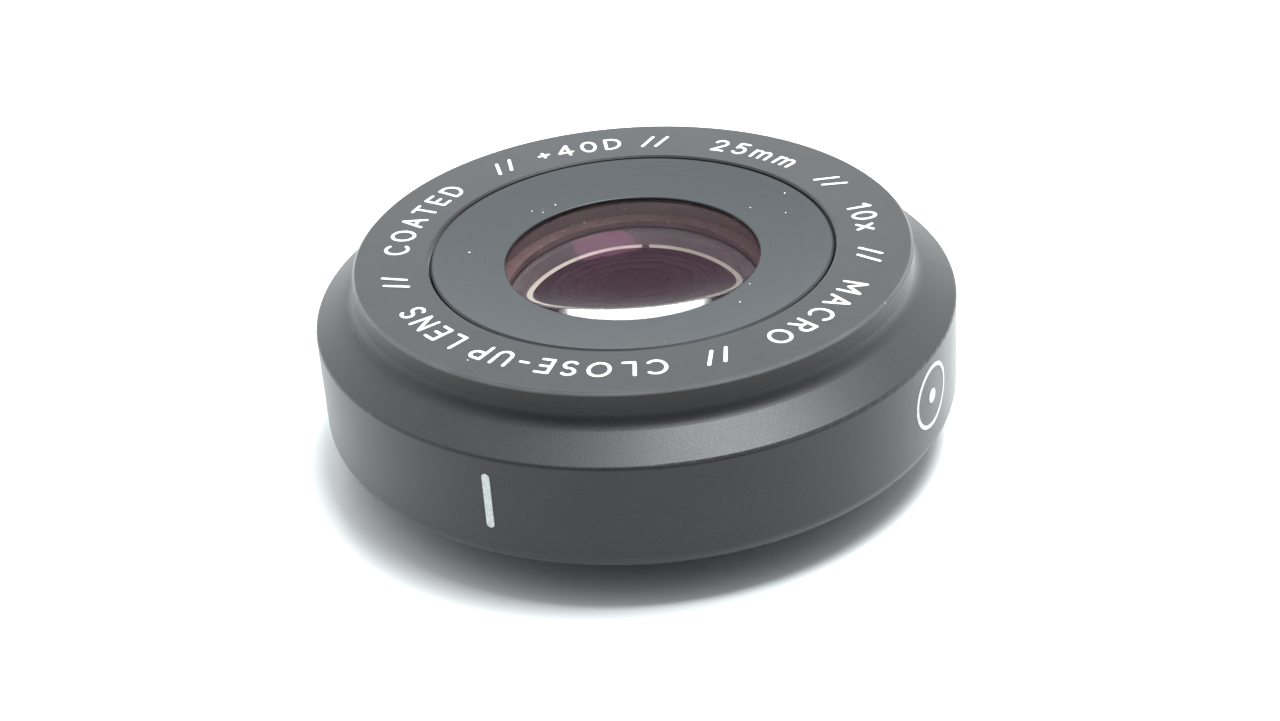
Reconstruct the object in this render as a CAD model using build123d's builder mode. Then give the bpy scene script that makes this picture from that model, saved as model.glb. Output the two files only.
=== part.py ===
"""Twist-on close-up lens for a phone case: a turned body, a cemented pair of glasses and a rear bayonet.

The optical axis is Z. The lens stands on the end of its rear boss at z = 0 and faces up. Millimetres.
"""

from build123d import *
import math
import os

# ---- driving dimensions -------------------------------------------------------------------------
total_height = 11.7         # end of the boss to the front face
boss_length = 2.4           # end of the boss to the seating face
body_radius = 18.0          # grip wall
face_radius = 15.65         # front ring and nose wall
recess_radius = 11.4        # opening in the front ring that the front disc sits in
aperture_radius = 7.15      # clear opening of the front disc
shoulder_drop = 3.0         # front face down to the outer edge of the cone shoulder
shoulder_slope = 30.0       # degrees from the horizontal
rear_round = 0.9            # rounding between the grip wall and the seating face
running_gap = 0.05          # radial clearance of parts that move or turn when assembled

front = total_height
seat = boss_length

# ---- glass --------------------------------------------------------------------------------------
glass_rim = front - 0.85            # edge of the domed front face
front_element_radius = 7.6
rear_element_radius = 6.8
front_curvature = 45.0              # radii of curvature
cement_curvature = 12.5
rear_curvature = 24.0
glass_thickness = 7.8               # both elements together, on the axis
rear_edge_height = 1.3              # straight edge of the rear element
edge_bevel = 0.1

# ---- rear mount ---------------------------------------------------------------------------------
flange_radius = 13.5
flange_thickness = 1.3
shim_thickness = 0.1
boss_radius = 10.5
boss_bore = 8.4
lug_radius = 12.0
lug_thickness = 0.9
lug_half_angle = 29.0
screw_circle = 12.05
screw_angles = (60, 120, 240, 300)
detent_circle = 12.1
detent_angle = 90
detent_travel = 0.5
detent_nose_radius = 0.7
detent_collar_radius = 1.1
clocking_angles = (0, 180)
clocking_circle = 12.2
clocking_radius = 0.6
stop_circle = 11.3
stop_angle = 34.0
stop_radius = 0.5

# ---- marks --------------------------------------------------------------------------------------
mark_depth = 0.1            # how deep the filled marks are cut into the grip wall
mark_proud = 0.02           # how far the filling stands out
index_angle = -117.4        # degrees about Z from +X
index_height = 3.3
index_width = 0.45
index_centre = front - 5.62
emblem_angle = -30.6
emblem_centre = front - 5.5
emblem_radius = 1.9
emblem_line = 0.24
emblem_dot = 0.42
bar_angles = (-72.5, -170.0, 123.0, 82.0, 27.7, -13.0)      # pairs of bars on the front ring
bar_circle = 13.3
bar_length = 1.57
bar_width = 0.2
bar_gap = 0.84              # between the middles of a pair
bar_slant = 24.0            # degrees from the radius

detent_point = (detent_circle, detent_angle)
clocking_points = [(clocking_circle, angle) for angle in clocking_angles]
screw_points = [(screw_circle, angle) for angle in screw_angles]
mount_top = seat + flange_thickness
mount_recess = mount_top + shim_thickness


def sagitta(curvature, height):
    """Depth of a spherical face of this radius of curvature at this height from the axis."""
    return curvature - math.sqrt(curvature ** 2 - height ** 2)


def polar(radius, angle):
    """Point in the XY plane at this radius and this angle in degrees."""
    return (radius * math.cos(math.radians(angle)), radius * math.sin(math.radians(angle)))


def turn(*points):
    """Revolve a closed outline of (radius, height) points about the axis into the open part."""
    with BuildSketch(Plane.XZ) as outline:
        with BuildLine():
            Polyline(*points, close=True)
        make_face()
    revolve(outline.sketch, axis=Axis.Z)


def outline_corners(outline, height):
    """Corners of a sketched outline at this height, from the axis outwards."""
    return outline.vertices().filter_by_position(Axis.Y, height - 0.001, height + 0.001).sort_by(Axis.X)


def bore_holes(points, radius, low, high):
    """Cut round holes between two heights at (radius, angle) points."""
    with BuildSketch(Plane.XY.offset(low)) as holes:
        with Locations(*[polar(*point) for point in points]):
            Circle(radius)
    extrude(holes.sketch, amount=high - low, mode=Mode.SUBTRACT)


def keep_wall_skin():
    """Trim the open part to a thin skin on the grip wall, as deep as a mark is cut."""
    with Locations((0, 0, total_height / 2)):
        Cylinder(body_radius + mark_proud, total_height, mode=Mode.INTERSECT)
        Cylinder(body_radius - mark_depth, total_height, mode=Mode.SUBTRACT)


def wall_plane(angle, height):
    """Plane that faces outwards from the axis at this angle, its origin inside the wall."""
    x, y = polar(body_radius - 1, angle)
    tangent = polar(1, angle + 90)
    return Plane(origin=(x, y, height), x_dir=(*tangent, 0), z_dir=(*polar(1, angle), 0))


# ---- marks on the grip wall ---------------------------------------------------------------------
with BuildPart() as index_mark:
    with BuildSketch(wall_plane(index_angle, index_centre)):
        SlotOverall(index_height, index_width, rotation=90)
    extrude(amount=2)
    keep_wall_skin()

with BuildPart() as side_emblem:
    with BuildSketch(wall_plane(emblem_angle, emblem_centre)):
        Circle(emblem_radius)
        Circle(emblem_radius - emblem_line, mode=Mode.SUBTRACT)
        Circle(emblem_dot)
    extrude(amount=2)
    keep_wall_skin()

# ---- slanted bars on the front ring, in pairs ---------------------------------------------------
half_pair = math.degrees(bar_gap / 2 / bar_circle)

with BuildPart() as ring_marks:
    with BuildSketch(Plane.XY.offset(front - mark_depth)):
        for pair in bar_angles:
            for angle in (pair - half_pair, pair + half_pair):
                with Locations(polar(bar_circle, angle)):
                    SlotOverall(bar_length, bar_width, rotation=angle - bar_slant)
    extrude(amount=mark_depth + mark_proud)

# ---- body shell ---------------------------------------------------------------------------------
thread_radius = recess_radius - 0.1
thread_start = front - 0.55
ledge = front - 2.65
cell_bore = 9.45
pad_inner = 14.6
pad_outer = 16.2
pad_depth = 0.5
shoulder_edge = front - shoulder_drop
nose_foot = shoulder_edge + (body_radius - face_radius) * math.tan(math.radians(shoulder_slope))
nose_fillet = 1.0
edge_fillet = 0.25
front_chamfer = 0.16
recess_chamfer = 0.1
detent_pocket_top = mount_recess + 3.0
screw_hole_radius = 0.7
screw_hole_top = 6.4
clocking_top = 5.4
flange_room = flange_radius + running_gap
collar_room = detent_collar_radius + running_gap

with BuildPart() as body_shell:
    with BuildSketch(Plane.XZ) as shell_outline:
        with BuildLine():
            Polyline(
                (recess_radius, front),
                (face_radius, front),
                (face_radius, nose_foot),
                (body_radius, shoulder_edge),
                (body_radius, seat),
                (flange_room, seat),
                (flange_room, mount_recess),
                (cell_bore, mount_recess),
                (cell_bore, ledge),
                (thread_radius, ledge),
                (thread_radius, thread_start),
                (recess_radius, thread_start + recess_radius - thread_radius),
                close=True,
            )
        make_face()
        fillet(outline_corners(shell_outline, nose_foot), radius=nose_fillet)
        fillet(outline_corners(shell_outline, shoulder_edge), radius=edge_fillet)
        fillet(outline_corners(shell_outline, seat)[-1], radius=rear_round)
        chamfer(outline_corners(shell_outline, front)[-1], length=front_chamfer)
        chamfer(outline_corners(shell_outline, front)[0], length=recess_chamfer)
    revolve(axis=Axis.Z)
    with BuildSketch(Plane.XY.offset(seat)) as pad_groove:
        Circle(pad_outer)
        Circle(pad_inner, mode=Mode.SUBTRACT)
    extrude(amount=pad_depth, mode=Mode.SUBTRACT)
    bore_holes(screw_points, screw_hole_radius, mount_recess, screw_hole_top)
    bore_holes([detent_point], collar_room, mount_recess, detent_pocket_top)
    bore_holes(clocking_points, clocking_radius, mount_recess, clocking_top)
    for mark in (index_mark, side_emblem, ring_marks):
        add(mark.part, mode=Mode.SUBTRACT)

# ---- lens cell and the glass in it --------------------------------------------------------------
flange_top = front - 1.75
flange_bottom = front - 2.55
cell_flange_radius = thread_radius - running_gap
cell_tube_radius = cell_bore - running_gap
cell_end = seat + 0.3
cup_radius = 8.85
glass_gap = 0.03
front_pocket = front_element_radius + glass_gap
rear_pocket = rear_element_radius + glass_gap
front_vertex = glass_rim + sagitta(front_curvature, front_element_radius)
rear_vertex = front_vertex - glass_thickness
rear_rim = rear_vertex + sagitta(rear_curvature, rear_element_radius - edge_bevel)
joint = rear_rim + rear_edge_height
cement_vertex = joint + sagitta(cement_curvature, rear_element_radius)
ledge_radius = 6.5          # ledge under the rear element, at the top of the tapered bore
ledge_drop = 0.3
bore_end = front - 8.6      # bright bevelled rim where the bore ends
rim_radius = 6.2
rim_bevel = 0.15
rim_depth = 0.12
cell_throat = 6.9

with BuildPart() as lens_cell:
    turn(
        (front_pocket, glass_rim),
        (cup_radius, glass_rim),
        (cup_radius, flange_top),
        (cell_flange_radius, flange_top),
        (cell_flange_radius, flange_bottom),
        (cell_tube_radius, flange_bottom),
        (cell_tube_radius, cell_end),
        (cell_throat, cell_end),
        (rim_radius + rim_bevel, bore_end - 2 * rim_depth),
        (rim_radius, bore_end - rim_depth),
        (rim_radius + rim_bevel, bore_end),
        (ledge_radius, rear_rim - ledge_drop),
        (rear_pocket, rear_rim - glass_gap),
        (rear_pocket, joint),
        (front_pocket, joint),
    )

with BuildPart() as front_element:
    with BuildSketch(Plane.XZ):
        with BuildLine():
            RadiusArc((front_element_radius, glass_rim), (0, front_vertex), -front_curvature)
            Line((0, front_vertex), (0, cement_vertex))
            RadiusArc((0, cement_vertex), (rear_element_radius, joint), cement_curvature)
            Polyline(
                (rear_element_radius, joint),
                (front_element_radius, joint),
                (front_element_radius, glass_rim),
            )
        make_face()
    revolve(axis=Axis.Z)

with BuildPart() as rear_element:
    with BuildSketch(Plane.XZ):
        with BuildLine():
            RadiusArc((0, cement_vertex), (rear_element_radius, joint), cement_curvature)
            Polyline(
                (rear_element_radius, joint),
                (rear_element_radius, rear_rim + edge_bevel),
                (rear_element_radius - edge_bevel, rear_rim),
            )
            RadiusArc((rear_element_radius - edge_bevel, rear_rim), (0, rear_vertex), rear_curvature)
            Line((0, rear_vertex), (0, cement_vertex))
        make_face()
    revolve(axis=Axis.Z)

# ---- front disc, its seal and the gasket under the cell -----------------------------------------
disc_radius = recess_radius - 0.15
disc_under = front - 0.74
disc_rim_bevel = 0.1
disc_rim = front - 0.06     # top of the dished face, at the rim
dish_curvature = 40
lip_top = front - 0.6       # foot of the dished face, at the clear opening
lip_bevel = 0.12
lip_edge = front - 0.66
cup_room = cup_radius + running_gap

with BuildPart() as front_disc:
    with BuildSketch(Plane.XZ):
        with BuildLine():
            Polyline(
                (aperture_radius + lip_bevel, lip_top),
                (aperture_radius, lip_edge),
                (aperture_radius, disc_under),
                (cup_room, disc_under),
                (cup_room, flange_top),
                (disc_radius, flange_top),
                (disc_radius, disc_rim - disc_rim_bevel),
                (disc_radius - disc_rim_bevel, disc_rim),
            )
            RadiusArc((disc_radius - disc_rim_bevel, disc_rim), (aperture_radius + lip_bevel, lip_top),
                      dish_curvature)
        make_face()
    revolve(axis=Axis.Z)

seal_inner = aperture_radius + 0.05
seal_outer = seal_inner + 0.2

with BuildPart() as front_seal:
    turn(
        (seal_inner, front_vertex - sagitta(front_curvature, seal_inner)),
        (seal_outer, front_vertex - sagitta(front_curvature, seal_outer)),
        (seal_outer, disc_under),
        (seal_inner, disc_under),
    )

with BuildPart() as cell_gasket:
    turn(
        (cell_bore, ledge),
        (cell_flange_radius, ledge),
        (cell_flange_radius, flange_bottom),
        (cell_bore, flange_bottom),
    )

# ---- bayonet mount ------------------------------------------------------------------------------
seal_room = 0.4
boss_bevel = 0.2
lug_root = boss_radius - 0.5
detent_step = seat + 0.7
pin_socket = 0.3            # depth of the blind end of each pin's bore
screw_head_radius = 1.15
screw_radius = 0.68
screw_clearance = 0.75
screw_gap = 0.02
hex_half_width = 0.45
hex_depth = 0.45

with BuildPart() as bayonet_mount:
    turn(
        (boss_bore, 0),
        (boss_radius - boss_bevel, 0),
        (boss_radius, boss_bevel),
        (boss_radius, seat),
        (flange_radius, seat),
        (flange_radius, mount_top),
        (cell_bore, mount_top),
        (cell_bore, cell_end - seal_room),
        (boss_bore, cell_end - seal_room),
    )
    with BuildSketch() as lugs:
        for middle in (0, 180):
            start, end = middle - lug_half_angle, middle + lug_half_angle
            with BuildLine():
                CenterArc((0, 0), lug_radius, start, end - start)
                Line(polar(lug_radius, end), polar(lug_root, end))
                CenterArc((0, 0), lug_root, start, end - start)
                Line(polar(lug_radius, start), polar(lug_root, start))
            make_face()
    extrude(amount=lug_thickness)
    bore_holes([detent_point], detent_nose_radius + running_gap, seat, mount_top)
    bore_holes([detent_point], collar_room, detent_step, mount_top)
    bore_holes([(stop_circle, stop_angle)], stop_radius, seat, mount_top - pin_socket)
    bore_holes(clocking_points, clocking_radius, seat + pin_socket, mount_top)
    with Locations(Plane.XY.offset(seat).rotated((180, 0, 0))):
        with Locations(*[(x, -y) for x, y in (polar(*point) for point in screw_points)]):
            CounterSinkHole(screw_clearance, screw_head_radius, depth=flange_thickness, counter_sink_angle=90)

with BuildPart() as mount_shim:
    turn(
        (cell_bore, mount_top),
        (flange_radius, mount_top),
        (flange_radius, mount_recess),
        (cell_bore, mount_recess),
    )
    bore_holes(screw_points, screw_clearance + running_gap, mount_top, mount_recess)
    bore_holes([detent_point], collar_room, mount_top, mount_recess)
    bore_holes(clocking_points, clocking_radius, mount_top, mount_recess)

screw_length = screw_hole_top - seat - 0.4

with BuildPart() as mount_screws:
    for point in screw_points:
        with Locations((*polar(*point), seat)):
            Cone(screw_head_radius - screw_gap, screw_radius, screw_head_radius - screw_radius,
                 align=(Align.CENTER, Align.CENTER, Align.MIN))
            Cylinder(screw_radius, screw_length, align=(Align.CENTER, Align.CENTER, Align.MIN))
    with BuildSketch(Plane.XY.offset(seat)) as sockets:
        with Locations(*[polar(*point) for point in screw_points]):
            RegularPolygon(hex_half_width, 6, major_radius=False)
    extrude(amount=hex_depth, mode=Mode.SUBTRACT)

with BuildPart() as clocking_pins:
    with BuildSketch(Plane.XY.offset(seat + pin_socket)):
        with Locations(*[polar(*point) for point in clocking_points]):
            Circle(clocking_radius)
    extrude(amount=clocking_top - seat - pin_socket - 2 * running_gap)

with BuildPart() as stop_pin:
    with BuildSketch(Plane.XY.offset(lug_thickness)):
        with Locations(polar(stop_circle, stop_angle)):
            Circle(stop_radius)
    extrude(amount=mount_top - pin_socket - lug_thickness)
    chamfer(stop_pin.faces().sort_by(Axis.Z)[0].edges(), length=stop_radius / 4)

# ---- detent: a sprung pin in the seating face ---------------------------------------------------
nose_end = seat - detent_travel
collar_top = detent_step + 0.5
pilot_top = collar_top + 0.8
detent_plane = Plane.XZ.offset(-detent_circle)
detent_axis = Axis((*polar(*detent_point), 0), (0, 0, 1))
spring_wire = 0.1
spring_radius = 0.76
spring_turns = 6
pilot_radius = 0.5

with BuildPart() as detent_pin:
    with BuildSketch(detent_plane):
        with BuildLine():
            Polyline(
                (0, nose_end),
                (0, pilot_top),
                (pilot_radius, pilot_top),
                (pilot_radius, collar_top),
                (detent_collar_radius, collar_top),
                (detent_collar_radius, detent_step),
                (detent_nose_radius, detent_step),
                (detent_nose_radius, nose_end + detent_nose_radius),
            )
            CenterArc((0, nose_end + detent_nose_radius), detent_nose_radius, 270, 90)
        make_face()
    revolve(axis=detent_axis)

spring_low = collar_top + spring_wire
spring_high = detent_pocket_top - spring_wire
spring_path = Helix((spring_high - spring_low) / spring_turns, spring_high - spring_low, spring_radius)
spring_path = Pos(*polar(*detent_point), spring_low) * spring_path
with BuildPart() as detent_spring:
    with BuildSketch(Plane(origin=spring_path @ 0, z_dir=spring_path % 0)):
        Circle(spring_wire)
    sweep(path=spring_path, is_frenet=True)

# ---- seals, pad and baffle on the rear side -----------------------------------------------------
with BuildPart() as rear_seal:
    with BuildSketch(Plane.XZ):
        with Locations(((boss_bore + cell_bore) / 2, cell_end - seal_room / 2)):
            Circle(seal_room / 2)
    revolve(axis=Axis.Z)

pad_proud = 0.1

with BuildPart() as seat_pad:
    turn(
        (pad_inner, seat - pad_proud),
        (pad_outer, seat - pad_proud),
        (pad_outer, seat + pad_depth),
        (pad_inner, seat + pad_depth),
    )

baffle_top = cell_end - seal_room
baffle_low = 0.5
baffle_throat = 6.4
baffle_mouth = 7.5
ridge_count = 4
ridge_pitch = (baffle_top - baffle_low) / ridge_count
ridge_growth = (baffle_mouth - baffle_throat) / ridge_count
ridge_crest = 0.12
ridge_depth = 0.35
baffle_outer = boss_bore - 0.02
notch_width = 0.9
notch_depth = 0.6

with BuildPart() as rear_baffle:
    steps = []
    for ridge in range(ridge_count):
        height = baffle_top - ridge * ridge_pitch
        radius = baffle_throat + ridge * ridge_growth
        steps += [(radius, height), (radius, height - ridge_crest)]
        steps += [(radius + ridge_depth, height - ridge_pitch)]
    turn(*steps, (baffle_outer, baffle_low), (baffle_outer, baffle_top))
    with BuildSketch(Plane.XY.offset(baffle_low)) as spanner_notches:
        with PolarLocations(baffle_outer, 2, start_angle=45):
            Rectangle(2 * notch_depth, notch_width)
    extrude(amount=notch_depth, mode=Mode.SUBTRACT)

# ---- labels and files ---------------------------------------------------------------------------
pieces = {
    "body_shell": body_shell,
    "front_disc": front_disc,
    "front_seal": front_seal,
    "front_element": front_element,
    "rear_element": rear_element,
    "lens_cell": lens_cell,
    "cell_gasket": cell_gasket,
    "rear_seal": rear_seal,
    "rear_baffle": rear_baffle,
    "bayonet_mount": bayonet_mount,
    "mount_shim": mount_shim,
    "mount_screws": mount_screws,
    "clocking_pins": clocking_pins,
    "stop_pin": stop_pin,
    "detent_pin": detent_pin,
    "detent_spring": detent_spring,
    "seat_pad": seat_pad,
    "index_mark": index_mark,
    "side_emblem": side_emblem,
    "ring_marks": ring_marks,
}
os.makedirs("parts", exist_ok=True)
for name, piece in pieces.items():
    piece.part.label = name
    export_step(piece.part, f"parts/{name}.step")
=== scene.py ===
import math

import bmesh
import bpy
import numpy as np
from mathutils import Matrix, Vector


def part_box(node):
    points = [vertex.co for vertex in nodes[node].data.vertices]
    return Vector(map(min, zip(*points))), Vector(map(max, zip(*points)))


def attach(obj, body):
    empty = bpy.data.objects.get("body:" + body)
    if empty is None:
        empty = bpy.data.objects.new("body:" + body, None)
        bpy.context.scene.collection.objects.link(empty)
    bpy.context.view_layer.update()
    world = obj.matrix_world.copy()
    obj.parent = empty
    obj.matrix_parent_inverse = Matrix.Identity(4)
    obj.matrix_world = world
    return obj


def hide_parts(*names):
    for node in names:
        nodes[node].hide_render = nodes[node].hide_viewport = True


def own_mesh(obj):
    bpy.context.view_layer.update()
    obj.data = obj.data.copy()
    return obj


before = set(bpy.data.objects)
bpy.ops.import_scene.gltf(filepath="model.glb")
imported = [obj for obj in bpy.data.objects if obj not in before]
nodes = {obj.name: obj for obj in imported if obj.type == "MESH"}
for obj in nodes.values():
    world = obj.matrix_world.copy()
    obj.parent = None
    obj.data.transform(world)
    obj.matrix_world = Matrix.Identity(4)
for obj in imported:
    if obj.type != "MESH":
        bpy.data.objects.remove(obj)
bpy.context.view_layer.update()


# ---- Table, light and camera --------------------------------------------------------------------
# The lens stands on a white sweep in a light tent that is open at the front, with one soft box above
# it, a little to the right. The camera looks down at the front face.

class Wire:
    """A shader socket that Python's operators work on. Each operator adds one Math node."""

    def __init__(self, finish, socket):
        self.finish, self.socket = finish, socket

    def math(self, operation, *values):
        return self.finish.node("ShaderNodeMath", {"operation": operation}, dict(enumerate(values)))

    def __add__(self, other):
        return self.math("ADD", self, other)

    def __radd__(self, other):
        return self.math("ADD", other, self)

    def __sub__(self, other):
        return self.math("SUBTRACT", self, other)

    def __rsub__(self, other):
        return self.math("SUBTRACT", other, self)

    def __mul__(self, other):
        return self.math("MULTIPLY", self, other)

    def __rmul__(self, other):
        return self.math("MULTIPLY", other, self)

    def __truediv__(self, other):
        return self.math("DIVIDE", self, other)

    def __pow__(self, other):
        return self.math("POWER", self, other)

    def __gt__(self, other):
        return self.math("GREATER_THAN", self, other)

    def __lt__(self, other):
        return self.math("LESS_THAN", self, other)

    def between(self, low, high):
        """0 below low, 1 above high, and a straight line between them."""
        return self.finish.node("ShaderNodeMapRange", {}, {0: self, 1: low, 2: high, 3: 0.0, 4: 1.0})


class Finish:
    """A material or a light in the making: its nodes, and the sockets of its own shader."""

    def __init__(self, owner, **sockets):
        """The owner is a world, or the name of a new material."""
        self.owner = bpy.data.materials.new(owner) if isinstance(owner, str) else owner
        self.owner.use_nodes = True
        self.tree = self.owner.node_tree
        self.surface = self.tree.nodes["Principled BSDF" if isinstance(owner, str) else "Background"]
        self.set(**sockets)

    def set(self, **sockets):
        """Set or link sockets of the shader by name, with _ for a space."""
        for name, value in sockets.items():
            self.feed(self.surface.inputs[name.replace("_", " ")], value)
        return self

    def feed(self, socket, value):
        if isinstance(value, Wire):
            self.tree.links.new(value.socket, socket)
        elif isinstance(value, tuple) and len(value) == 3 and len(socket.default_value) == 4:
            socket.default_value = (*value, 1)
        else:
            socket.default_value = value

    def node(self, kind, settings, sockets, output=0):
        """Add a node of this type with these settings and socket values, and give one output."""
        made = self.tree.nodes.new(kind)
        for name, value in settings.items():
            setattr(made, name, value)
        for key, value in sockets.items():
            self.feed(made.inputs[key], value)
        return Wire(self, made.outputs[output])

    def place(self):
        """Where a point is on the object, in metres."""
        return self.node("ShaderNodeTexCoord", {}, {}, "Object")

    def noise(self, scale, detail=2.0, roughness=0.5):
        """Cloudy noise from 0 to 1. The scale is in features per metre."""
        sockets = {"Vector": self.place(), "Scale": scale, "Detail": detail, "Roughness": roughness}
        return self.node("ShaderNodeTexNoise", {}, sockets, "Fac")

    def specks(self, spacing, size, share):
        """Small round specks: 1 inside them. Only this share of the places holds one."""
        sockets = {"Vector": self.place(), "Scale": 1 / spacing}
        distance = self.node("ShaderNodeTexVoronoi", {}, sockets, "Distance")
        pick = self.node("ShaderNodeTexVoronoi", {}, sockets, "Color")
        lot = self.node("ShaderNodeSeparateColor", {}, {0: pick}, 0)
        grade = self.node("ShaderNodeSeparateColor", {}, {0: pick}, 1)
        reach = size / spacing * (0.35 + grade * 0.65)
        return (1 - distance / reach).between(0.0, 0.4) * (lot > 1 - share)

    def mix(self, share, first, second):
        """Colour from first to second as the share goes from 0 to 1."""
        sockets = {0: share, 6: first, 7: second}
        return self.node("ShaderNodeMix", {"data_type": "RGBA"}, sockets, 2)

    def bump(self, height, depth, strength):
        """Normal of a surface whose relief is this height, from 0 to 1, times the depth in metres."""
        return self.node("ShaderNodeBump", {}, {"Height": height, "Distance": depth, "Strength": strength})

    def lines(self, across, scale, detail=3.0):
        """Noise from 0 to 1 that changes with one distance only, as tool marks do."""
        sockets = {"W": across, "Scale": scale, "Detail": detail}
        return self.node("ShaderNodeTexNoise", {"noise_dimensions": "1D"}, sockets, "Fac")

    def part(self, index):
        """One of x, y and z, in metres."""
        return self.node("ShaderNodeSeparateXYZ", {}, {0: self.place()}, index)

    def blend(self, share, second):
        """Let a second shader take over from the material's own as the share goes from 0 to 1."""
        own = Wire(self, self.surface.outputs[0])
        both = self.node("ShaderNodeMixShader", {}, {0: share, 1: own, 2: second})
        self.tree.links.new(both.socket, self.tree.nodes["Material Output"].inputs["Surface"])

    def axial(self):
        """(distance from the optical axis, height), in metres."""
        x, y, z = (self.part(index) for index in range(3))
        return (x * x + y * y) ** 0.5, z


def white_table():
    """A round sheet under the object: rings of points whose radius grows by the same factor."""
    rings, sides = 24, 96
    radius = np.concatenate([[0.0], np.geomspace(0.004, 3.0, rings)])[:, None]
    angle = np.linspace(0, 2 * np.pi, sides, endpoint=False)[None, :]
    points = np.stack([radius * np.cos(angle), radius * np.sin(angle), 0 * radius * angle], axis=-1)
    first = np.arange(rings * sides).reshape(rings, sides)
    after = np.roll(first, -1, axis=1)
    quads = np.stack([first, first + sides, after + sides, after], axis=-1).reshape(-1, 4)
    mesh = bpy.data.meshes.new("table")
    mesh.from_pydata(points.reshape(-1, 3).tolist(), [], quads.tolist())
    mesh.shade_smooth()
    table = bpy.data.objects.new("table", mesh)
    bpy.context.scene.collection.objects.link(table)
    paper = Finish("white_sweep", Base_Color=(0.72, 0.72, 0.725), Roughness=0.3, Specular_IOR_Level=0.4)
    mesh.materials.append(paper.owner)


def soft_box(name, place, size, power, target=(0, 0, 0.006)):
    """A square area light that faces the object."""
    data = bpy.data.lights.new(name, "AREA")
    data.shape = "RECTANGLE"
    data.size, data.size_y = size
    data.energy = power
    data.color = (0.94, 0.99, 1.0)
    lamp = bpy.data.objects.new(name, data)
    lamp.location = place
    lamp.rotation_euler = (Vector(target) - Vector(place)).to_track_quat("-Z", "Y").to_euler()
    bpy.context.scene.collection.objects.link(lamp)


def light_tent(front_strength, back_strength, top_strength):
    """A tent that is dim in front, where its opening is, bright behind and a little brighter
    overhead: one ramp along Y plus another along Z."""
    world = bpy.data.worlds.new("light_tent")
    tent = Finish(world, Color=(0.94, 0.99, 1.0))
    direction = tent.node("ShaderNodeTexCoord", {}, {}, "Generated")
    behind = tent.node("ShaderNodeSeparateXYZ", {}, {0: direction}, 1).between(-0.75, 0.35)
    above = tent.node("ShaderNodeSeparateXYZ", {}, {0: direction}, 2).between(0.3, 0.9)
    tent.set(Strength=front_strength + behind * (back_strength - front_strength) + above * top_strength)
    bpy.context.scene.world = world


def camera_at(distance, elevation, aim_drop, roll, lens):
    """A camera in front of the lens, at an elevation above the front face, aimed below that face."""
    face = Vector((0, 0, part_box("body_shell")[1].z))
    place = face + distance * Vector((0, -math.cos(elevation), math.sin(elevation)))
    aim = face - Vector((0, 0, aim_drop))
    turn = (aim - place).to_track_quat("-Z", "Y").to_matrix() @ Matrix.Rotation(roll, 3, "Z")
    data = bpy.data.cameras.new("camera")
    data.lens = lens
    data.sensor_width = 36.0
    data.clip_start, data.clip_end = 0.005, 10.0
    camera = bpy.data.objects.new("camera", data)
    camera.location = place
    camera.rotation_euler = turn.to_euler()
    bpy.context.scene.collection.objects.link(camera)
    bpy.context.scene.camera = camera


white_table()
light_tent(front_strength=0.1, back_strength=1.85, top_strength=0.2)
soft_box("overhead_box", place=(0.075, 0.02, 0.34), size=(0.16, 0.16), power=2.7)
camera_at(distance=0.13295, elevation=math.radians(27.976), aim_drop=0.00745, roll=math.radians(-4.18),
          lens=66.98)
bpy.context.scene.view_settings.view_transform = "Standard"


# ---- Body shell ---------------------------------------------------------------------------------
# One turned piece of aluminium: lettered front ring, nose, cone shoulder and grip wall. It is
# bead-blasted all over and anodised black. The outer rim of the front ring is painted lighter grey:
# part wear from handling, part painted highlight.

def dress(node, material):
    """Give a CAD node this material in every slot."""
    piece = nodes[node]
    for slot in piece.material_slots:
        slot.material = material
    if not piece.material_slots:
        piece.data.materials.append(material)


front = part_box("body_shell")[1].z
nose_radius = 0.01565
wear_and_highlight_height = (0.00022, 0.00006)    # the painted rim, part wear and part painted highlight, fades in between these depths under the face
wear_and_highlight_width = (0.00022, 0.0001)      # and between these distances inside the nose wall


def shell_black():
    """Bead-blasted and black anodised aluminium: small dimples, cloudy gloss, a little dust, and the
    outer rim of the front ring painted lighter grey, part wear from handling and part painted highlight."""
    finish = Finish("shell_black", IOR=1.385, Sheen_Weight=0.2, Sheen_Roughness=0.45)
    dimples = finish.noise(9000.0, 3.0, 0.65)
    clouds = finish.noise(420.0, 3.0)
    dust = finish.specks(0.0011, 0.00007, 0.08)
    share = (dimples * 0.65 + clouds * 0.35).between(0.35, 0.65)
    tone = finish.mix(share, (0.008, 0.0078, 0.009), (0.016, 0.0158, 0.018))
    radius, height = finish.axial()
    # The outer rim of the front ring is painted lighter grey: part wear, part painted highlight.
    near_front = height.between(*(front - depth for depth in wear_and_highlight_height))
    rim = radius.between(*(nose_radius - depth for depth in wear_and_highlight_width))
    tone = finish.mix(near_front * rim * 0.6 * (0.4 + clouds * 0.6), tone, (0.16, 0.16, 0.165))
    tone = finish.mix(dust, tone, (0.62, 0.62, 0.62))
    finish.set(Base_Color=tone, Roughness=0.33 + dimples * 0.16 + clouds * 0.05,
               Normal=finish.bump(dimples, 0.000012, 0.55))
    return finish.owner


dress("body_shell", shell_black())


# ---- White lettering on the front ring ----------------------------------------------------------
# The words are engraved with a round-nosed cutter and filled with white paint, so each stroke has
# round ends. They say what the lens is in plain words, with pairs of slanted bars between them.

letter_height = 0.00127         # between the middles of the top and bottom strokes
stroke_width = 0.0002
stroke_rise = 0.00001
letter_gap = 0.00066
word_space = 0.5                # as a share of the letter height
line_radius = 0.0133


def bend(cx, cy, rx, ry, start, end, count=17):
    """Points on an ellipse from one angle to another, in degrees."""
    angle = np.radians(np.linspace(start, end, count))
    return np.stack([cx + rx * np.cos(angle), cy + ry * np.sin(angle)], axis=-1).tolist()


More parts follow.
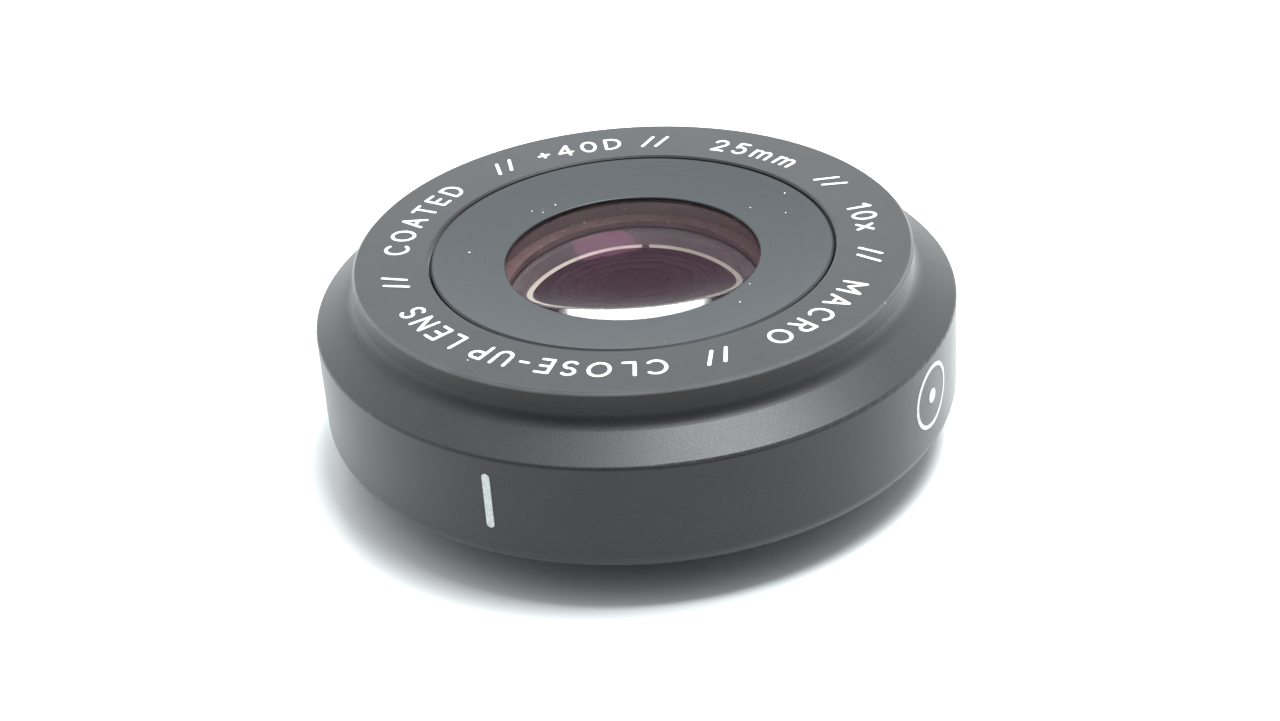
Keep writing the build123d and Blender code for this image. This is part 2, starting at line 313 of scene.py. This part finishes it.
bowl = [(0, 1), *bend(0.3, 0.75, 0.25, 0.25, 90, -90), (0, 0.5)]
letters = {
    "A": (0.74, [[(0, 0), (0.37, 1)], [(0.37, 1), (0.74, 0)], [(0.13, 0.33), (0.61, 0.33)]]),
    "C": (0.76, [bend(0.42, 0.5, 0.42, 0.5, 48, 312)]),
    "D": (0.66, [[(0, 0), (0, 1)], [(0, 1), *bend(0.22, 0.5, 0.44, 0.5, 90, -90), (0, 0)]]),
    "E": (0.5, [[(0, 0), (0, 1)], [(0, 1), (0.5, 1)], [(0, 0.5), (0.44, 0.5)], [(0, 0), (0.5, 0)]]),
    "L": (0.48, [[(0, 0), (0, 1)], [(0, 0), (0.48, 0)]]),
    "M": (0.8, [[(0, 0), (0, 1)], [(0, 1), (0.4, 0.34)], [(0.4, 0.34), (0.8, 1)], [(0.8, 1), (0.8, 0)]]),
    "N": (0.66, [[(0, 0), (0, 1)], [(0, 1), (0.66, 0)], [(0.66, 0), (0.66, 1)]]),
    "O": (0.86, [bend(0.43, 0.5, 0.43, 0.5, 0, 360, 33)]),
    "P": (0.55, [[(0, 0), (0, 1)], bowl]),
    "R": (0.58, [[(0, 0), (0, 1)], bowl, [(0.27, 0.5), (0.58, 0)]]),
    "S": (0.54, [bend(0.27, 0.75, 0.25, 0.25, 35, 270) + bend(0.27, 0.25, 0.27, 0.25, 90, -145)]),
    "T": (0.6, [[(0, 1), (0.6, 1)], [(0.3, 0), (0.3, 1)]]),
    "U": (0.62, [[(0, 1), *bend(0.31, 0.31, 0.31, 0.31, 180, 360), (0.62, 1)]]),
    "m": (0.84, [[(0, 0), (0, 0.68)], [*bend(0.21, 0.45, 0.21, 0.23, 180, 0), (0.42, 0)],
                 [*bend(0.63, 0.45, 0.21, 0.23, 180, 0), (0.84, 0)]]),
    "x": (0.48, [[(0, 0), (0.48, 0.66)], [(0, 0.66), (0.48, 0)]]),
    "0": (0.62, [bend(0.31, 0.5, 0.31, 0.5, 0, 360, 33)]),
    "1": (0.24, [[(0, 0.8), (0.24, 1)], [(0.24, 1), (0.24, 0)]]),
    "2": (0.56, [[*bend(0.28, 0.72, 0.27, 0.28, 165, -38), (0, 0)], [(0, 0), (0.56, 0)]]),
    "4": (0.64, [[(0.47, 0), (0.47, 1)], [(0.47, 1), (0, 0.3)], [(0, 0.3), (0.64, 0.3)]]),
    "5": (0.54, [[(0.5, 1), (0.1, 1)], [(0.1, 1), (0.06, 0.55)], bend(0.25, 0.32, 0.29, 0.32, 132, -145)]),
    "+": (0.46, [[(0, 0.5), (0.46, 0.5)], [(0.23, 0.27), (0.23, 0.73)]]),
    "-": (0.34, [[(0, 0.46), (0.34, 0.46)]]),
}
words = [("CLOSE-UP LENS", -30.0), ("COATED", -113.0), ("+40D", -168.0), ("25mm", 144.0),
         ("10x", 96.4), ("MACRO", 47.0)]


def stroke_grid(path):
    """A rounded ridge along a path of (x, y) points: an arch across it, drawn in to a point at the
    round ends. Across: width/2 * cos(t) and rise * sin(t), t from 0 to pi. Gives a grid of points."""
    path = np.asarray(path, float)
    ahead = np.gradient(path, axis=0)
    ahead /= np.linalg.norm(ahead, axis=1, keepdims=True)
    half = stroke_width / 2
    cap = np.linspace(0, np.pi / 2, 6)[:-1]
    start = path[0] - ahead[0] * half * np.cos(cap)[:, None]
    end = path[-1] + ahead[-1] * half * np.cos(cap)[::-1, None]
    line = np.concatenate([start, path, end])
    share = np.concatenate([np.sin(cap), np.ones(len(path)), np.sin(cap)[::-1]])
    share[[0, -1]] = 0.02
    facing = np.concatenate([np.repeat(ahead[:1], len(cap), 0), ahead, np.repeat(ahead[-1:], len(cap), 0)])
    side = np.stack([facing[:, 1], -facing[:, 0]], axis=-1)
    across = np.linspace(0, np.pi, 9)
    flat = line[:, None, :] + side[:, None, :] * (half * share[:, None] * np.cos(across)[None, :])[..., None]
    rise = stroke_rise * share[:, None] * np.sin(across)[None, :]
    return np.concatenate([flat, rise[..., None]], axis=-1)


def letter_strokes(word):
    """Every stroke of a word as points in metres, centred on 0 along the line."""
    strokes, at = [], 0.0
    for sign in word:
        if sign == " ":
            at += word_space * letter_height
            continue
        width, lines = letters[sign]
        strokes += [np.asarray(line) * letter_height + (at, -letter_height / 2) for line in lines]
        at += width * letter_height + letter_gap
    middle = (at - letter_gap) / 2
    return [stroke - (middle, 0) for stroke in strokes]


def on_ring(grid, angle):
    """Wrap a flat grid round the front ring: along the line becomes an angle, clockwise from above."""
    turn = math.radians(angle) - grid[..., 0] / line_radius
    radius = line_radius + grid[..., 1]
    return np.stack([radius * np.sin(turn), -radius * np.cos(turn), front + grid[..., 2]], axis=-1)


def grid_mesh(name, grids, closed_across=False, closed_along=False):
    """One mesh from grids of points, each grid's neighbours joined by four-sided faces."""
    points, faces, base = [], [], 0
    for grid in grids:
        rows, columns = grid.shape[:2]
        index = base + np.arange(rows * columns).reshape(rows, columns)
        if closed_along:
            index = np.concatenate([index, index[:1]])
        if closed_across:
            index = np.concatenate([index, index[:, :1]], axis=1)
        quads = np.stack([index[:-1, :-1], index[1:, :-1], index[1:, 1:], index[:-1, 1:]], axis=-1)
        points.append(grid.reshape(-1, 3))
        faces.append(quads.reshape(-1, 4))
        base += rows * columns
    mesh = bpy.data.meshes.new(name)
    mesh.from_pydata(np.concatenate(points).tolist(), [], np.concatenate(faces).tolist())
    sealed = bmesh.new()
    sealed.from_mesh(mesh)
    bmesh.ops.remove_doubles(sealed, verts=sealed.verts, dist=1e-8)
    sealed.to_mesh(mesh)
    sealed.free()
    mesh.shade_smooth()
    piece = bpy.data.objects.new(name, mesh)
    bpy.context.scene.collection.objects.link(piece)
    return piece


def thicken_path(path):
    """Add points to a straight stroke so that it can follow the ring's curve."""
    path = np.asarray(path, float)
    steps = [np.linspace(a, b, 6)[:-1] if len(path) < 4 else a[None] for a, b in zip(path[:-1], path[1:])]
    return np.concatenate([*steps, path[-1:]])


def lettering():
    """All the words as one piece of raised strokes."""
    grids = []
    for word, angle in words:
        grids += [on_ring(stroke_grid(thicken_path(s)), angle) for s in letter_strokes(word)]
    return grid_mesh("ring_lettering", grids)


def white_paint():
    """Dense white paint rubbed into the cut, a little chalky and uneven."""
    finish = Finish("white_fill", Roughness=0.6)
    chalk = finish.noise(7000.0, 3.0)
    finish.set(Base_Color=finish.mix(chalk.between(0.3, 0.7), (0.46, 0.47, 0.465), (0.66, 0.67, 0.66)),
               Normal=finish.bump(chalk, 0.000008, 0.5))
    return finish.owner


white_fill = white_paint()
marks = lettering()
marks.data.materials.append(white_fill)
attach(marks, "body")


# ---- Marks on the ring and the wall -------------------------------------------------------------
# Pairs of slanted bars between the words, a bar on the wall that shows the turn position and a plain
# ring with a dot. All are cut into the metal and filled with the same white paint.

for mark in ("ring_marks", "index_mark", "side_emblem"):
    dress(mark, white_fill)


# ---- Front disc ---------------------------------------------------------------------------------
# The ring that screws in over the glass. Its dished face is turned with a fine pointed tool, which
# leaves even grooves round it, and it is black anodised with a faint blue cast.

disc_low, disc_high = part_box("front_disc")
disc_radius = disc_high.x
aperture_radius = 0.00715
lip_height = front - 0.0006
disc_under = front - 0.00074
cell_room = 0.0089              # radius of the disc's hollow, which the cell goes into
rim_bevel = 0.0001
lip_bevel = 0.00012
lip_round = 0.0001
dish_sag = 0.00005
groove_pitch = 0.00013
groove_depth = 0.0000035


def dish(radius):
    """Height of the dished face: the straight line from the lip up to the rim, less a parabola of the
    sag's depth, less grooves of depth * |sin(pi * distance / pitch)|."""
    inner = aperture_radius + lip_bevel
    share = (radius - inner) / (disc_radius - rim_bevel - inner)
    line = lip_height + share * (disc_high.z - lip_height)
    wave = groove_depth * np.abs(np.sin(np.pi * (radius - inner) / groove_pitch))
    return line - dish_sag * 4 * share * (1 - share) - wave


def disc_outline():
    """(radius, height) round the disc's section: dished face, rounded lip, underside and wall."""
    face = np.linspace(disc_radius - rim_bevel, aperture_radius + lip_bevel, 241)
    lip_angle = np.radians(np.linspace(70, 180, 8))
    lip = np.stack([aperture_radius + lip_round * (1 + np.cos(lip_angle)),
                    lip_height - lip_round * (1 - np.sin(lip_angle))], axis=-1)
    back = np.array([(aperture_radius, disc_under), (cell_room, disc_under), (cell_room, disc_low.z),
                     (disc_radius, disc_low.z), (disc_radius, disc_high.z - rim_bevel)])
    return np.concatenate([np.stack([face, dish(face)], axis=-1), lip, back])


def turned(name, outline, sides=300, closed=True):
    """Turn an outline of (radius, height) points about the axis, anticlockwise in the section. One
    that isn't closed runs from the axis to the axis."""
    angle = np.linspace(0, 2 * np.pi, sides, endpoint=False)[:, None]
    radius, height = np.asarray(outline)[:, 0][None, :], np.asarray(outline)[:, 1][None, :]
    grid = np.stack([radius * np.cos(angle), radius * np.sin(angle), height + 0 * angle], axis=-1)
    piece = grid_mesh(name, [grid], closed_across=closed, closed_along=True)
    piece.data.set_sharp_from_angle(angle=math.radians(32))
    return piece


def grooved_black():
    """Black anodised and finely turned: gloss that changes from groove to groove, and dust."""
    finish = Finish("disc_black", IOR=1.40)
    radius, _ = finish.axial()
    lathe = finish.lines(radius, 16000.0, 2.0)
    grain = finish.noise(12000.0, 2.0)
    clouds = finish.noise(500.0, 3.0)
    dust = finish.specks(0.0007, 0.00007, 0.28)
    tone = finish.mix(lathe.between(0.3, 0.7), (0.010, 0.0115, 0.014), (0.022, 0.025, 0.030))
    tone = finish.mix(dust, tone, (0.72, 0.72, 0.72))
    relief = finish.bump(lathe * 0.7 + grain * 0.3, 0.000004, 0.6)
    finish.set(Base_Color=tone, Roughness=0.32 + grain * 0.1 + clouds * 0.06, Normal=relief)
    return finish.owner


disc = turned("grooved_disc", disc_outline())
disc.data.materials.append(grooved_black())
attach(disc, "body")
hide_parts("front_disc")


# ---- The cemented glasses -----------------------------------------------------------------------
# A front glass with a slightly domed face, cemented to a smaller glass with a domed rear face. Both
# are polished and coated purple, and their ground edges are inked. The reddish brown of the edge ink
# is partly a painted reflection of the coating.

glass_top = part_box("front_element")[1].z
front_glass_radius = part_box("front_element")[1].x
rear_glass_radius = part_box("rear_element")[1].x
rear_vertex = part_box("rear_element")[0].z
joint_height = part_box("front_element")[0].z
front_curvature = 0.045
rear_curvature = 0.024
edge_bevel = 0.0001
cement_line = 0.0001
dark_edge = 0.00026             # height of the black band round the rear rim
glass_index = 1.62
painted_crescent_fade = (0.0033, 0.0040)    # the inner reflection is faded by painted shade between these distances


def sagitta(curvature, radius):
    """Depth of a sphere of this radius of curvature at a distance from the axis."""
    return curvature - np.sqrt(curvature ** 2 - radius ** 2)


def glass_outline():
    """(radius, height, finish of the stretch that follows) from the centre of the rear face, round
    its bevel and the two edges, to the centre of the front face."""
    rear = np.linspace(0, rear_glass_radius - edge_bevel, 120)
    below = rear_vertex + sagitta(rear_curvature, rear)
    fore = np.linspace(front_glass_radius - edge_bevel, 0, 120)
    above = glass_top - sagitta(front_curvature, fore)
    return [
        *[(r, h, "polish") for r, h in zip(rear[:-1], below[:-1])],
        (rear[-1], below[-1], "dark"),
        (rear_glass_radius, below[-1] + edge_bevel, "dark"),
        (rear_glass_radius, below[-1] + dark_edge, "ink"),
        (rear_glass_radius, joint_height, "ink"),
        (front_glass_radius, joint_height + cement_line, "ink"),
        (front_glass_radius, above[0] - edge_bevel, "ink"),
        *[(r, h, "polish") for r, h in zip(fore, above)],
    ]


def polished_glass():
    """Clear glass under a purple coating that lets most light through. Light that is wholly
    reflected inside keeps its strength in the middle; towards the sides, along x, painted shade fades
    it out."""
    finish = Finish("coated_glass", Transmission_Weight=1.0, IOR=glass_index, Roughness=0.05,
                    Specular_Tint=(1.0, 0.26, 0.62))
    coat = finish.noise(260.0, 2.0)
    x = finish.part(0)
    # Painted shade: a mask along x fades the inner reflection towards the sides.
    sides = ((x * x) ** 0.5).between(*painted_crescent_fade) * 0.84
    trapped = finish.node("ShaderNodeFresnel", {}, {"IOR": glass_index}) > 0.95
    through = finish.node("ShaderNodeBsdfRefraction", {}, {"Color": (1.0, 0.985, 0.99), "Roughness": 0.0,
                                                           "IOR": glass_index})
    finish.blend((1 - trapped) * (0.76 + coat * 0.08) + trapped * (0.08 + sides), through)
    return finish.owner


def edge_ink(name, colour, grain, chips):
    """Ground glass edge under ink: matte, with fine grinding grain, thin places and a share of
    small white chips."""
    finish = Finish(name, Roughness=0.7)
    share = (finish.noise(grain, 3.0) * 0.7 + finish.noise(900.0, 2.0) * 0.3).between(0.3, 0.7)
    tone = finish.mix(share, tuple(0.6 * c for c in colour), colour)
    finish.set(Base_Color=finish.mix(finish.specks(0.0006, 0.00009, chips), tone, (0.85, 0.84, 0.84)))
    return finish.owner


def glass_pair():
    """The two glasses as one closed solid, because the cement leaves no air between them."""
    sides = 256
    outline = glass_outline()
    piece = turned("cemented_glasses", [(r, h) for r, h, _ in outline], sides, closed=False)
    finishes = {
        "polish": polished_glass(),
        # Reddish brown edge ink: black ink with a painted reflection of the purple coating in its colour.
        "ink": edge_ink("glass_edge_ink", (0.24, 0.13, 0.12), 2600.0, 0.5),
        "dark": edge_ink("glass_rim_ink", (0.004, 0.003, 0.004), 5000.0, 0.0),
    }
    order = list(finishes)
    for finish in finishes.values():
        piece.data.materials.append(finish)
    stretches = [order.index(kind) for _, _, kind in outline[:-1]]
    piece.data.polygons.foreach_set("material_index", np.tile(stretches, sides).astype(np.int32))
    return piece


glasses = glass_pair()
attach(glasses, "body")
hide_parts("front_element", "rear_element")


# ---- Lens cell ----------------------------------------------------------------------------------
# A turned aluminium sleeve, black inside and out. Its tapered bore shows slanting tool marks, and
# the bevel where the bore ends is painted as a bright cream ring.

bore_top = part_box("rear_element")[0].z + 0.0009
bore_end = front - 0.0086
bore_wall = 0.0069              # the sleeve's wall starts outside this radius
bright_depth = 0.00012
bright_radius = 0.00635
nick_from, nick_to = 0.0005, 0.00085
hair = 0.000005                 # how far the bright bevel's edges are let out


def cell_finish():
    """Black sleeve, streaked grey-brown bore and a bright rim with one small nick in it."""
    finish = Finish("cell_black", IOR=1.45)
    radius, height = finish.axial()
    x, y = finish.part(0), finish.part(1)
    grain = finish.noise(9000.0, 3.0, 0.6)
    turn = finish.node("ShaderNodeMath", {"operation": "ARCTAN2"}, {0: y, 1: x})
    slant = finish.node("ShaderNodeCombineXYZ", {}, {0: turn + height * 260.0, 1: height * 130.0})
    streaks = finish.node("ShaderNodeTexNoise", {}, {"Vector": slant, "Scale": 16.0, "Detail": 4.0,
                                                     "Roughness": 0.6}, "Fac").between(0.3, 0.7)
    inside = (height > bore_end) * (height < bore_top) * (radius < bore_wall)
    sleeve = finish.mix(grain.between(0.35, 0.65), (0.012, 0.011, 0.011), (0.03, 0.027, 0.026))
    bore = finish.mix(streaks, (0.03, 0.026, 0.024), (0.12, 0.108, 0.098))
    tone = finish.mix(inside, sleeve, bore)
    nick = (x > nick_from) * (x < nick_to) * (y > 0)
    # The bright cream ring is painted onto the bevel where the bore ends.
    rim = (height > bore_end - bright_depth - hair) * (height < bore_end + hair)
    rim = rim * (radius < bright_radius + 2 * hair) * (1 - nick)
    tone = finish.mix(rim * (0.55 + grain * 0.45), tone, (0.74, 0.68, 0.57))
    relief = finish.bump(grain * 0.6 + streaks * inside * 0.4, 0.00001, 0.5)
    finish.set(Base_Color=tone, Metallic=rim * 0.25, Roughness=0.42 + grain * 0.2, Normal=relief)
    return finish.owner


dress("lens_cell", cell_finish())


# ---- Rear baffle --------------------------------------------------------------------------------
# A ring that screws into the rear mount and holds the cell. Its throat is ridged and dyed a dead
# black so that it throws no light back.

def dead_black():
    """Matte black dye over fine turning lines, worn a little thinner on the crests."""
    finish = Finish("baffle_black", Roughness=0.85, IOR=1.35)
    _, height = finish.axial()
    lathe = finish.lines(height, 14000.0)
    cloud = finish.noise(1500.0, 4.0, 0.6)
    share = (lathe * 0.4 + cloud * 0.6).between(0.35, 0.7)
    tone = finish.mix(share, (0.006, 0.006, 0.0065), (0.02, 0.0195, 0.019))
    tone = finish.mix(finish.specks(0.0009, 0.00005, 0.08), tone, (0.5, 0.5, 0.5))
    finish.set(Base_Color=tone, Normal=finish.bump(lathe * 0.5 + cloud * 0.5, 0.000012, 0.5))
    return finish.owner


dress("rear_baffle", dead_black())


# ---- Seals --------------------------------------------------------------------------------------
# A thin ring between the disc and the glass, a gasket under the cell's flange and a ring behind
# the cell, all cut from black nitrile sheet.

def nitrile():
    """Black rubber sheet: fine matte grain with a faint bloom."""
    finish = Finish("seal_rubber", IOR=1.5)
    fine = finish.noise(7000.0, 3.0, 0.6)
    bloom = finish.noise(700.0, 3.0).between(0.45, 0.75)
    tone = finish.mix(fine.between(0.3, 0.7), (0.010, 0.010, 0.010), (0.026, 0.026, 0.026))
    tone = finish.mix(bloom * 0.25, tone, (0.09, 0.09, 0.092))
    finish.set(Base_Color=tone, Roughness=0.66 + fine * 0.2, Normal=finish.bump(fine, 0.00001, 0.5))
    return finish.owner


seal_rubber = nitrile()
for seal in ("front_seal", "cell_gasket", "rear_seal"):
    dress(seal, seal_rubber)


# ---- Seat pad -----------------------------------------------------------------------------------
# A flat ring of soft silicone foam, glued into a groove in the rear face, that presses on whatever
# the lens is mounted on.

def foam():
    """Skin of black closed-cell foam: round cells of uneven size, with painted shade in their hollows."""
    finish = Finish("pad_foam", Roughness=0.9, IOR=1.4)
    cells = finish.node("ShaderNodeTexVoronoi", {}, {"Vector": finish.place(), "Scale": 5200.0}, "Distance")
    cloud = finish.noise(600.0, 3.0)
    # Painted shade: the colour is darker towards each cell's middle, where the bump makes a hollow.
    tone = finish.mix((cells * 1.3 * (0.6 + cloud * 0.8)).between(0.1, 0.9), (0.014, 0.014, 0.015),
                      (0.045, 0.045, 0.047))
    finish.set(Base_Color=tone, Normal=finish.bump(cells, 0.00004, 0.6))
    return finish.owner


dress("seat_pad", foam())


# ---- Bayonet mount ------------------------------------------------------------------------------
# The quarter-turn mount: a turned and milled aluminium ring with two lugs, black anodised. The lugs
# rub in use, so their rims are worn to a dull grey.

lug_radius = 0.012
lug_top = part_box("stop_pin")[0].z + 0.001


def mount_finish():
    """Turned black anodising with lathe lines round it, worn at the rim of the lugs."""
    finish = Finish("mount_black", IOR=1.45)
    radius, height = finish.axial()
    lathe = finish.lines(radius + height, 11000.0)
    grain = finish.noise(9000.0, 3.0, 0.6)
    rub = finish.noise(1800.0, 4.0, 0.65)
    share = (lathe * 0.6 + grain * 0.4).between(0.35, 0.65)
    tone = finish.mix(share, (0.012, 0.012, 0.013), (0.034, 0.034, 0.036))
    lug_rim = radius.between(lug_radius - 0.00015, lug_radius - 0.00002) * (height < lug_top)
    tone = finish.mix(lug_rim * rub.between(0.3, 0.7) * 0.6, tone, (0.11, 0.11, 0.112))
    tone = finish.mix(finish.specks(0.0012, 0.00005, 0.06), tone, (0.6, 0.6, 0.6))
    finish.set(Base_Color=tone, Roughness=0.34 + grain * 0.16,
               Normal=finish.bump(lathe * 0.6 + grain * 0.4, 0.000008, 0.6))
    return finish.owner


dress("bayonet_mount", mount_finish())


# ---- Shim ---------------------------------------------------------------------------------------
# A thin brass ring that sets how far the lugs stand off. It is punched from rolled strip and shows
# the rolling lines and a little tarnish.

def rolled(name, colour, tarnish, roughness, axis_scale):
    """Rolled or drawn metal: fine lines along one direction, with cloudy tarnish over them."""
    finish = Finish(name, Metallic=1.0)
    along = finish.node("ShaderNodeMapping", {}, {0: finish.place(), "Scale": axis_scale})
    lines = finish.node("ShaderNodeTexNoise", {}, {"Vector": along, "Scale": 1.0, "Detail": 3.0}, "Fac")
    cloud = finish.noise(700.0, 4.0, 0.6)
    tone = finish.mix(lines.between(0.3, 0.7), tuple(0.8 * c for c in colour), colour)
    tone = finish.mix(cloud.between(0.45, 0.75) * 0.6, tone, tarnish)
    finish.set(Base_Color=tone, Roughness=roughness + cloud * 0.15, Normal=finish.bump(lines, 0.000003, 0.5))
    return finish.owner


dress("mount_shim",
      rolled("shim_brass", (0.78, 0.60, 0.28), (0.42, 0.28, 0.12), 0.25, (600.0, 14000.0, 600.0)))


# ---- Screws -------------------------------------------------------------------------------------
# Four small socket screws that hold the mount, in blackened steel: dark brown-black, oily, and
# bright where the key has rubbed.

def blackened_steel():
    """Blackened steel: uneven brown-black with small bright rubs."""
    finish = Finish("screw_steel", Metallic=0.8)
    grain = finish.noise(7000.0, 4.0, 0.6)
    rubs = finish.noise(2600.0, 3.0).between(0.62, 0.7)
    tone = finish.mix(grain.between(0.3, 0.7), (0.035, 0.032, 0.031), (0.085, 0.08, 0.078))
    tone = finish.mix(rubs * 0.6, tone, (0.42, 0.41, 0.40))
    finish.set(Base_Color=tone, Roughness=0.36 + grain * 0.15, Normal=finish.bump(grain, 0.000005, 0.5))
    return finish.owner


dress("mount_screws", blackened_steel())


# ---- Clocking, stop and detent pins -------------------------------------------------------------
# Ground steel pins: two that set the mount's angle, one that stops its turn and the sprung one
# that drops into the socket's notch. Ground lines run round each.

def ground_steel():
    """Ground steel: fine rings along the pin's length and faint stains."""
    finish = Finish("pin_steel", Metallic=1.0)
    _, height = finish.axial()
    rings = finish.lines(height, 20000.0)
    stain = finish.noise(2200.0, 4.0, 0.6)
    tone = finish.mix(rings.between(0.3, 0.7), (0.48, 0.48, 0.48), (0.66, 0.66, 0.65))
    tone = finish.mix(stain.between(0.55, 0.75) * 0.5, tone, (0.30, 0.27, 0.24))
    finish.set(Base_Color=tone, Roughness=0.2 + stain * 0.15, Normal=finish.bump(rings, 0.000002, 0.5))
    return finish.owner


pin_steel = ground_steel()
for pin in ("clocking_pins", "stop_pin", "detent_pin"):
    dress(pin, pin_steel)


# ---- Detent spring ------------------------------------------------------------------------------
# A compression spring wound from round wire, with a closed turn at each end.

spring_low, spring_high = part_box("detent_spring")
wire_radius = 0.0001
active_turns = 6
closed_rise = 2.1 * wire_radius     # height that a closed turn gains


def spring_mesh():
    """Round wire along a helix whose height climbs in straight lines: a closed turn, the active turns
    and a closed turn. The wire's radius is 0 at the two ends, which closes them."""
    turns = np.linspace(0, active_turns + 2, 321)
    low, high = spring_low.z + wire_radius, spring_high.z - wire_radius
    height = np.interp(turns, [0, 1, active_turns + 1, active_turns + 2],
                       [low, low + closed_rise, high - closed_rise, high])[:, None]
    middle = (spring_low + spring_high) / 2
    coil = (spring_high.x - spring_low.x) / 2 - wire_radius
    angle = 2 * np.pi * turns[:, None]
    round_wire = np.linspace(0, 2 * np.pi, 14, endpoint=False)[None, :]
    share = np.ones_like(turns)[:, None]
    share[[0, -1]] = 0.0
    out = coil + wire_radius * share * np.cos(round_wire)
    grid = np.stack([middle.x + out * np.cos(angle), middle.y + out * np.sin(angle),
                     height + wire_radius * share * np.sin(round_wire)], axis=-1)
    return grid_mesh("coil_spring", [grid], closed_across=True)


spring = spring_mesh()
spring.data.materials.append(
    rolled("spring_wire", (0.60, 0.59, 0.57), (0.36, 0.31, 0.26), 0.24, (3000.0, 3000.0, 9000.0)))
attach(spring, "body")
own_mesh(spring)
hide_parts("detent_spring")
